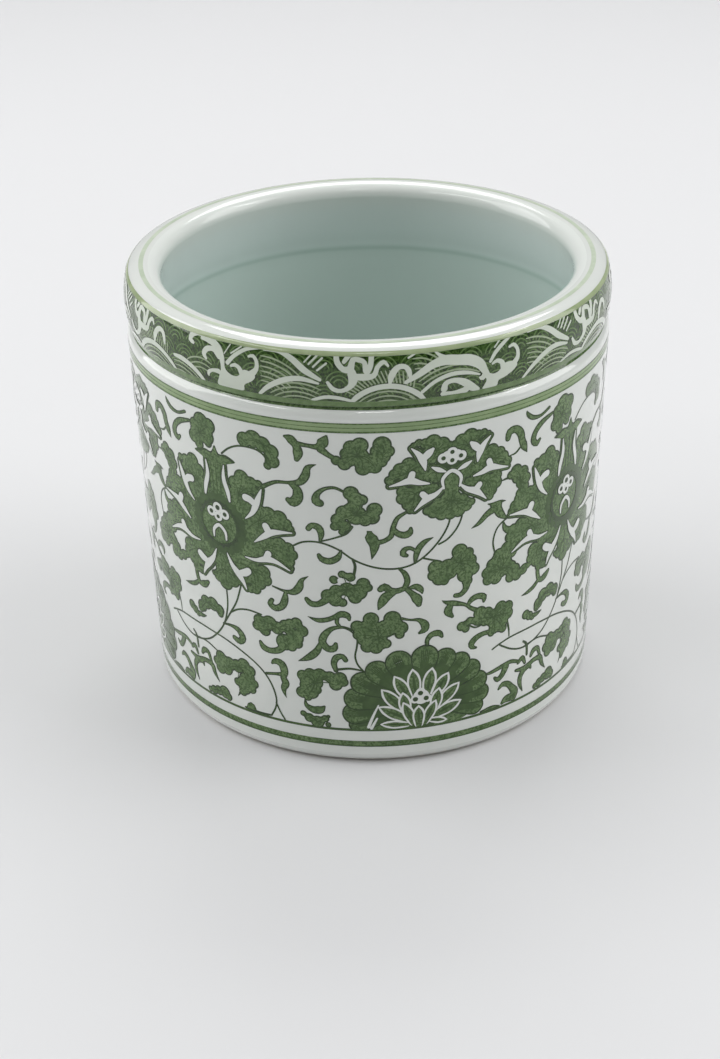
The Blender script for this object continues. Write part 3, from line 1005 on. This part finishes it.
def draw_lotus(p):
    for petal in mirror(LOTUS_PETALS, LOTUS):
        p.leafy(petal)
    p.leafy(LOTUS_SKIRT)
    for ground in LOTUS_GROUND:
        p.ink.disc(*ground)
    p.leaf.disc(*LOTUS_MIDDLE)
    for reserve in mirror(LOTUS_RESERVES, LOTUS):
        p.swoosh(reserve)
    p.swoosh(LOTUS_HEART)
    for u, v, radius in LOTUS_POD:
        p.edge.disc(u, v, radius + SWOOSH_EDGE)
        p.reserve.disc(u, v, radius)
    for seed in LOTUS_SEEDS:
        p.detail.disc(*seed)


def draw_scallop(p, u, v, radius):
    """A petal of the lower flower, whose dark line hides the lines of the petals behind it."""
    heading = math.atan2(v - DISC_HEART[1], u - DISC_HEART[0])
    out = (math.cos(heading), math.sin(heading))
    radius += DISC_TUCK
    u, v = u - DISC_TUCK * out[0], v - DISC_TUCK * out[1]

    def inwards(distance):
        return (u - distance * out[0], v - distance * out[1])

    body = [inwards(DISC_SCALLOP_ROOT) + (1.6 * radius,), (u, v, 2 * radius)]
    p.ink.stroke(body)
    p.leaf.stroke(body, OUTLINE)
    for inset, shown in ((0.0, True), (DISC_SCALLOP_LINE, False)):
        profile = [(0.0, 0.7 - inset), (0.45 * DISC_SCALLOP_REACH, 0.7 * radius - inset)]
        for turn in (100, 65, 35, 8):
            across, ahead = math.sin(math.radians(turn)), math.cos(math.radians(turn))
            profile.append((DISC_SCALLOP_REACH + (radius - inset) * ahead, (radius - inset) * across))
        p.edge.paint(petal_outline(inwards(DISC_SCALLOP_REACH), (u, v), profile), shown)
    for turn in (-0.5, -0.25, 0.0, 0.25, 0.5):
        way = heading + turn
        root = inwards(DISC_VEIN_ROOT)
        start = (root[0] - 1.5 * turn * out[1], root[1] + 1.5 * turn * out[0], 0.7)
        p.vein.stroke([start, (u + 0.6 * radius * math.cos(way), v + 0.6 * radius * math.sin(way), 0.16)])


def draw_small_petal(p, base, tip, width):
    """A green petal with a white line round it and a dark middle, which hides what is behind it."""
    length, half, line = math.dist(base, tip), width / 2, DISC_PETAL_LINE
    outer = [(0, 0.45 * half), (0.25 * length, 0.85 * half), (0.52 * length, half),
             (0.78 * length, 0.78 * half), (0.92 * length, 0.36 * half), (length, 0.08)]
    inner = [(-line, 0.45 * half - line / 2), (0.25 * length, 0.85 * half - line),
             (0.52 * length, half - line), (0.74 * length, 0.76 * half - line), (length - 1.6 * line, 0.1)]
    middle = [(0.2 * length, 0.12), (0.4 * length, 0.22 * half), (0.6 * length, 0.16 * half),
              (0.76 * length, 0.06)]
    for layer, profile, shown in ((p.reserve, outer, True), (p.reserve, inner, False), (p.vein, outer, False),
                                  (p.vein, middle, True), (p.edge, outer, False)):
        layer.paint(petal_outline(base, tip, profile), shown)


def draw_disc_flower(p):
    for scallop in sorted(DISC_SCALLOPS, key=lambda s: s[1]):
        draw_scallop(p, *scallop)
    for u, v, radius in DISC_GROUND:
        p.ink.disc(u, v, radius)
        p.leaf.disc(u, v, radius)
        p.vein.disc(u, v, radius - DISC_DARK_INSET)
    for petal in DISC_BACK_PETALS:
        draw_small_petal(p, *petal)
    for lobe in DISC_POD:
        p.reserve.paint(circle(*lobe), True)
    for petal in DISC_FRONT_PETALS:
        draw_small_petal(p, *petal)
    for seed in DISC_SEEDS:
        p.detail.disc(*seed)
    for reserve in DISC_LINES:
        p.reserve.stroke(reserve)


def draw_scroll():
    p = Print()
    for lobes in LEAVES:
        p.leafy(lobes)
    for points in CURLS:
        p.curl(points)
    for points in VINES:
        p.vine(points)
    draw_aster(p)
    draw_lotus(p)
    draw_disc_flower(p)
    p.reserve.disc(*LEAF_GAP)
    return p


def build_scroll():
    p = draw_scroll()
    layers = (("ink", p.ink, INK), ("leaf", p.leaf, LEAF), ("vein", p.vein, VEIN),
              ("edge", p.edge, INK), ("reserve", p.reserve, WHITE), ("detail", p.detail, INK))
    for number in range(REPEATS):
        for height, (kind, layer, material) in enumerate(layers, 1):
            name = "scroll_%s_%d" % (kind, number + 1)
            sheet = lay_on_pot(name, layer, SCROLL_SPAN, wall_radius, number * PERIOD, height * PRINT_STEP,
                               SCROLL_SPACING)
            nodes = ["lotus_scroll_print_%d" % (number + 1)] if kind == "ink" else []
            finish_piece(sheet, material, nodes)


# ---- the wave border: one repeat, reserved in white on a dark ground ----
# Lines are (u, v, width) along the line.
CREST_TRUNK = [(-39.2, 108.4), (-38.8, 111), (-38, 113.4), (-38.4, 115.8), (-39.8, 118), (-42.4, 119),
               (-44.6, 119.4), (-43.8, 120.6), (-40.5, 120.3), (-38, 118.8), (-36.9, 116.2), (-36.8, 113.9),
               (-35.6, 112.6), (-33.8, 112.2), (-32.4, 113), (-31.4, 114.4), (-29.6, 114.2), (-28.2, 113.3),
               (-29.2, 111.8), (-31.4, 110.4), (-32.4, 108.4)]
CREST_LINES = [
    [(-43, 120.2, 1.3), (-45.4, 120.6, 1.3), (-47.4, 119.9, 1.5), (-48.1, 118.5, 1.3), (-47, 117.9, 0.9)],
    [(-38.4, 116.6, 2), (-40.3, 117.8, 1.3), (-42.4, 117.4, 1.4), (-43.3, 116, 1.4), (-42.6, 115, 0.8)],
    [(-38.8, 112.4, 1.4), (-40.6, 112.3, 0.9), (-42, 111.5, 1), (-42.2, 110.6, 0.6)],
    [(-32, 113.3, 1.4), (-32.6, 114.6, 1.2), (-33.8, 115.2, 1), (-35, 114.7, 0.6)],
    [(-29.3, 113.6, 1.8), (-27.9, 115.2, 1.2), (-27.8, 117, 1), (-28.8, 118.3, 0.9), (-30, 118, 0.6)],
    [(-36, 115.3, 1.1), (-33.9, 117.6, 1), (-30.8, 119.6, 0.9), (-27.5, 120.3, 0.5)],
    [(-35, 117.9, 0.4), (-32.2, 120, 0.4)],
    [(-37, 117.4, 0.3), (-35.4, 119.9, 0.3)],
]
LONG_WAVE_LINES = [
    [(-26, 120.2, 0.5), (-22, 120.3, 1), (-18.6, 118.8, 1.5), (-15.5, 116.4, 1.6), (-11.8, 114.3, 0.9)],
    [(-27.4, 108.7, 0.8), (-24.6, 111.3, 1.3), (-20.6, 113.5, 1.4), (-16.5, 114.2, 1.3),
     (-12.2, 113.3, 0.6)],
    [(-13.7, 108.7, 0.8), (-10.5, 109.7, 1), (-7, 109.5, 1), (-3.7, 108.6, 0.7)],
    [(-14.5, 118, 0.5), (-12.4, 120.2, 0.5)],
    [(-15.6, 118.4, 0.4), (-13.9, 120.3, 0.4)],
    [(-13.4, 117.4, 0.5), (-11.2, 119.6, 0.5)],
    [(-12.4, 116.6, 0.5), (-10.2, 118.4, 0.5)],
]
FOAM_LINES = [
    [(-7.8, 120.3, 1.3), (-7.5, 118.7, 1.4), (-6.1, 117.1, 1.4), (-4.4, 116.8, 2), (-3.8, 114.5, 2.2),
     (-4.6, 112.7, 1.4), (-6.6, 111.6, 1.1), (-8.6, 112, 1.2), (-9.9, 113.7, 0.8)],
    [(-5.9, 118.9, 1), (-4.9, 120.3, 1.3)],
    [(-4.4, 117, 1.8), (-3.7, 119.4, 1.3), (-2.4, 119.4, 1.2), (-1, 118.7, 1.2), (-0.6, 116.4, 1.4),
     (0.4, 117.9, 1.3), (0.7, 120.4, 1.3)],
    [(-3.6, 115.3, 1.6), (-1, 115.2, 1.7), (1.2, 115.6, 1.3), (2.1, 117.6, 1.1), (3.6, 118.8, 1),
     (4.6, 117.8, 0.6)],
    [(4.9, 112.9, 0.5), (5.4, 115.3, 1.6), (6.8, 117.2, 1.4), (8.6, 117.4, 1.2), (9.6, 116.2, 1.3),
     (9.9, 114.4, 0.7)],
]
SECOND_CREST_LINES = [
    [(8.8, 113.4, 0.9), (12, 115.2, 1.6), (15.5, 117.2, 1.9), (18.6, 117.9, 2.4), (22, 117.5, 2.5),
     (25, 117, 2.7), (27.5, 115.6, 2.5), (28.9, 113.4, 1.7), (29.8, 111.8, 1.4)],
    [(16.2, 120.3, 0.5), (17.5, 119.1, 1), (19, 118.2, 1.6)],
    [(12.8, 110.4, 0.9), (16, 112.9, 1), (20, 114.2, 1.1), (24, 114, 1), (27.4, 112.9, 0.5)],
    [(18.3, 110.5, 1.7), (18.7, 112, 1.4), (20.8, 112.5, 1.3), (23.3, 111.6, 1.9), (25.4, 109.9, 2.1),
     (27.2, 108.8, 1.2)],
    [(18, 109.2, 1.2), (21, 109.1, 1), (24, 109.4, 1.8)],
    [(27.6, 112, 0.6), (28.3, 111.7, 1.4), (29.2, 113, 1.6)],
    [(30.4, 115.6, 0.8), (32, 117.6, 1), (34.6, 119.4, 0.9), (36.5, 120.3, 0.5)],
    [(31.8, 118.8, 0.4), (33.4, 120.2, 0.4)],
    [(9.6, 119.4, 0.5), (11.6, 120.4, 0.4)],
]
SECOND_TRUNK = [(29.4, 112.9), (31.2, 112.2), (32.8, 112.6), (33.9, 114), (35.2, 114.4), (36.9, 114.2),
                (38.2, 113.2), (37.3, 111.9), (34.9, 110.6), (32.9, 110), (32.4, 108.4), (28.6, 108.4),
                (29.4, 110.6)]
SECOND_TRUNK_LINES = [
    [(34, 113.3, 1.5), (33.6, 114.7, 1.3), (32.2, 115.4, 1), (31, 114.9, 0.6)],
    [(37, 113.4, 1.8), (38.3, 115, 1.2), (38.3, 117, 1), (37.3, 118.3, 0.9), (36, 118, 0.6)],
]
# fans of thin concentric lines: centre, first radius, spacing, number of lines, first and last angle, width
WAVE_FANS = [
    ((-26.5, 104.4), 14.3, -1.25, 6, 46, 91, 0.42),
    ((-17.5, 100.5), 12.5, -1.2, 4, 62, 128, 0.42),
    ((4.5, 101.4), 9.9, -1.25, 3, 40, 140, 0.42),
    ((-53, 101.4), 9.9, -1.25, 3, 40, 100, 0.42),
    ((21, 101.8), 14.6, -1.2, 2, 62, 128, 0.45),
    ((11.8, 112.6), 7.8, -1.25, 4, 35, 100, 0.4),
    ((7, 104), 7.2, -1.2, 3, 30, 62, 0.4),
    ((-44.5, 107), 7.6, -1.3, 3, 62, 130, 0.4),
]
WAVE_BANDS = [
    ((4.5, 101.4), 11.3, 36, 144, 1.4),
    ((-53, 101.4), 11.3, 36, 96, 1.4),
]
# the spray over the fan under the foam: fine lines with (radius, lean in degrees, width) at both ends
SPRAY_CENTRE = (4.5, 101.4)
SPRAY_ANGLES = range(60, 136, 4)
SPRAY_ENDS = ((12.4, 0, 0.4), (15.2, 4, 0.3))
RIPPLES_PER_ROW = 19
RIPPLE_ANGLES = (18, 162)
RIPPLE_WIDTH = 0.34
RIPPLE_ROWS = (109.6, 113.2, 116.8)  # heights of the ripples' centres
GROUND_STEP = 0.7  # height of one step of the dark ground's mesh
RIPPLE_RADII = (1.3, 2.3, 3.3)


def add_fans(layer, shift, fans, bands):
    for centre, radius, spacing, number, first, last, width in fans:
        for k in range(number):
            layer.stroke(arc_line((centre[0] + shift, centre[1]), radius + k * spacing, first, last, width))
    for centre, radius, first, last, width in bands:
        layer.stroke(arc_line((centre[0] + shift, centre[1]), radius, first, last, width))


def add_spray(layer, shift):
    for angle in SPRAY_ANGLES:
        line = []
        for radius, lean, width in SPRAY_ENDS:
            u, v = polar((SPRAY_CENTRE[0] + shift, SPRAY_CENTRE[1], radius), angle + lean)
            line.append((u, v, width))
        layer.stroke(line)


def draw_ripples():
    """Rows of small round ripples that fill the ground behind the waves."""
    layer = Layer()
    pitch = WAVE_PERIOD / RIPPLES_PER_ROW
    for row, height in enumerate(RIPPLE_ROWS):
        for k in range(RIPPLES_PER_ROW):
            centre = ((k + 0.5 * (row % 2)) * pitch - WAVE_PERIOD / 2, height)
            for radius in RIPPLE_RADII:
                layer.stroke(arc_line(centre, radius, *RIPPLE_ANGLES, RIPPLE_WIDTH))
    return layer


def draw_waves():
    """One repeat of the border: a crest, a long wave, foam, a breaking crest, a long wave and foam again."""
    half = WAVE_PERIOD / 2
    foam, fine = Layer(), Layer()
    foam.area(CREST_TRUNK)
    foam.area(SECOND_TRUNK)
    for line in CREST_LINES + SECOND_CREST_LINES + SECOND_TRUNK_LINES:
        foam.stroke(line)
    for shift in (0.0, half):
        for line in moved(LONG_WAVE_LINES + FOAM_LINES, shift):
            foam.stroke(line)
        add_spray(fine, shift)
    add_fans(fine, 0.0, WAVE_FANS, [])
    add_fans(fine, half, WAVE_FANS[:3], [])
    add_fans(foam, 0.0, [], WAVE_BANDS)
    add_fans(foam, half, [], WAVE_BANDS[:1])
    return foam, fine


def build_waves():
    foam, fine = draw_waves()
    heights = [z for _, z in straight((0.0, WAVE_SPAN[0]), (0.0, WAVE_SPAN[1]), GROUND_STEP)]
    profile = [(collar_radius(z), z, math.degrees(math.asin((z - BELLY[1]) / BELLY[2]))) for z in heights]
    finish_piece(ring_strip("wave_ground", profile), GROUND, ["wave_border_print"])
    layers = (("wave_ripples", draw_ripples(), RIPPLE, "wave_print"),
              ("wave_lines", fine, PALE, "wave_print"),
              ("wave_foam", foam, FOAM, "white_glaze"))
    for number in range(WAVE_REPEATS):
        for height, (name, layer, material, slot) in enumerate(layers, 2):
            sheet = lay_on_pot("%s_%d" % (name, number + 1), layer, WAVE_SPAN, collar_radius,
                               number * WAVE_PERIOD, height * PRINT_STEP, WAVE_SPACING)
            finish_piece(sheet, material)


# ---- stage, in metres and watts ----
FLOOR_HALF, FLOOR_BACK, BACKDROP_BEND, BACKDROP_TOP = 9.0, 1.6, 0.8, 3.5
BEND_TURNS = (0.2, 0.5, 0.8, 1.1, 1.35, math.pi / 2)
POT_MIDDLE = (0, 0, 0.06)
COLLAR_MIDDLE = (0, 0, 0.10)
# name, place, the point it faces, width and height, power
LIGHTS = (
    ("overhead", (0.05, 0.8, 1.1), POT_MIDDLE, (0.8, 0.5), 5.0),
    ("left", (-1.2, 0.3, 0.62), POT_MIDDLE, (1.0, 1.2), 8.4),
    ("right", (1.2, -0.05, 0.8), POT_MIDDLE, (1.0, 1.2), 8.2),
    ("front_strip", (0.04, -0.75, 1.15), COLLAR_MIDDLE, (0.30, 0.10), 0.65),
    ("left_strip", (-0.75, -0.35, 0.95), COLLAR_MIDDLE, (0.65, 0.12), 1.2),
    ("right_strip", (0.9, -0.05, 1.0), COLLAR_MIDDLE, (0.30, 0.06), 0.5),
)
BRIGHT_SIDE = (-0.05, 0.75, 0.66)  # the direction in which the surround is brightest
DIM_GLOW, BRIGHT_GLOW = (-0.75, 0.05), (0.4, 0.70)  # (how far a direction goes that way, strength)


def build_stage():
    """A wide pale floor that curves up into a backdrop behind the pot."""
    profile = [(-FLOOR_HALF, 0.0), (FLOOR_BACK, 0.0)]
    for turn in BEND_TURNS:
        profile.append((FLOOR_BACK + BACKDROP_BEND * math.sin(turn), BACKDROP_BEND * (1 - math.cos(turn))))
    profile.append((FLOOR_BACK + BACKDROP_BEND, BACKDROP_TOP))
    verts = [(x, y, z) for y, z in profile for x in (-FLOOR_HALF, FLOOR_HALF)]
    faces = [(2 * k, 2 * k + 1, 2 * k + 3, 2 * k + 2) for k in range(len(profile) - 1)]
    floor = add_object("floor", verts, faces)
    mat, _, shader = new_material("floor")
    set_inputs(shader, {"Base Color": srgb(219, 219, 220), "Roughness": 0.7, "Specular IOR Level": 0.2})
    floor.data.materials.append(mat)


def build_world():
    """A soft pale surround, dimmer low down on the camera's side."""
    world = bpy.data.worlds.new("studio")
    world.use_nodes = True
    tree = world.node_tree
    sky = tree.nodes["Background"]
    sky.inputs["Color"].default_value = (0.985, 0.995, 1.0, 1.0)
    coords = node(tree, "ShaderNodeTexCoord")
    toward = node(tree, "ShaderNodeVectorMath", {1: BRIGHT_SIDE}, operation="DOT_PRODUCT")
    tree.links.new(coords.outputs["Generated"], toward.inputs[0])
    glow = ranged(tree, toward.outputs["Value"], DIM_GLOW, BRIGHT_GLOW, "SMOOTHSTEP")
    tree.links.new(glow, sky.inputs["Strength"])
    bpy.context.scene.world = world


def build_lights():
    for name, at, aim, size, power in LIGHTS:
        data = bpy.data.lights.new(name, "AREA")
        data.shape = "RECTANGLE"
        data.size, data.size_y = size
        data.energy = power
        obj = bpy.data.objects.new(name, data)
        obj.location = at
        obj.rotation_euler = (Vector(aim) - Vector(at)).to_track_quat("-Z", "Y").to_euler()
        bpy.context.scene.collection.objects.link(obj)


def build_camera():
    """Camera in front of the pot, looking down on it, level but for a slight roll."""
    distance, height = 0.4775, 0.3029
    pitch, yaw, roll = 0.507, -0.007, -0.0215
    right = Vector((math.cos(-yaw), math.sin(-yaw), 0.0))
    ahead = Vector((-math.sin(-yaw) * math.cos(pitch), math.cos(-yaw) * math.cos(pitch), -math.sin(pitch)))
    up = right.cross(ahead)
    rolled_right = math.cos(roll) * right + math.sin(roll) * up
    rolled_up = math.cos(roll) * up - math.sin(roll) * right
    data = bpy.data.cameras.new("camera")
    data.sensor_width = 36.0
    data.lens = 64.6
    camera = bpy.data.objects.new("camera", data)
    turn = Matrix((rolled_right, rolled_up, -ahead)).transposed().to_4x4()
    camera.matrix_world = Matrix.Translation((0.0, -distance, height)) @ turn
    bpy.context.scene.collection.objects.link(camera)
    bpy.context.scene.camera = camera


def set_colours():
    """Show the glaze colours as they are, without a film curve."""
    bpy.context.scene.view_settings.view_transform = "Standard"


build_clay()
build_bands()
build_scroll()
build_waves()
build_stage()
build_world()
build_lights()
build_camera()
set_colours()
